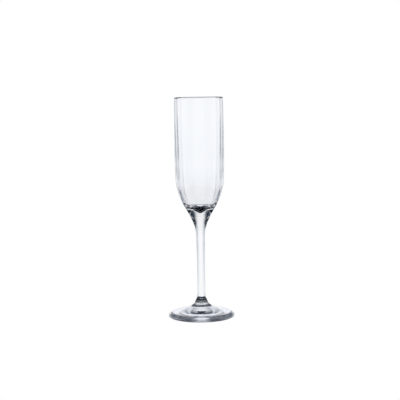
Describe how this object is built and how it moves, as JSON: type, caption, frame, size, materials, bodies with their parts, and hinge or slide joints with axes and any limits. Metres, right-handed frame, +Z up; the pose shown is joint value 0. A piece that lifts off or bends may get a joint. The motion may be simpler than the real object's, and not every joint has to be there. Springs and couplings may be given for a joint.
{
  "type": "champagne flute",
  "caption": "Tall clear champagne flute with a panelled optic bowl, a solid stem and a round foot.",
  "frame": {"origin": "on the axis, in the plane of the ring that the foot rests on", "axes": "+Z up along the axis, towards the rim; +X and +Y are alike, because the flute is round"},
  "size_m": [0.0676, 0.0676, 0.225],
  "materials": {
    "bowl_glass": "clear polished",
    "stem_glass": "clear polished",
    "foot_glass": "clear polished"
  },
  "bodies": {
    "root": {"bowl": "bowl_glass", "stem": "stem_glass", "foot": "foot_glass"}
  },
  "joints": []
}
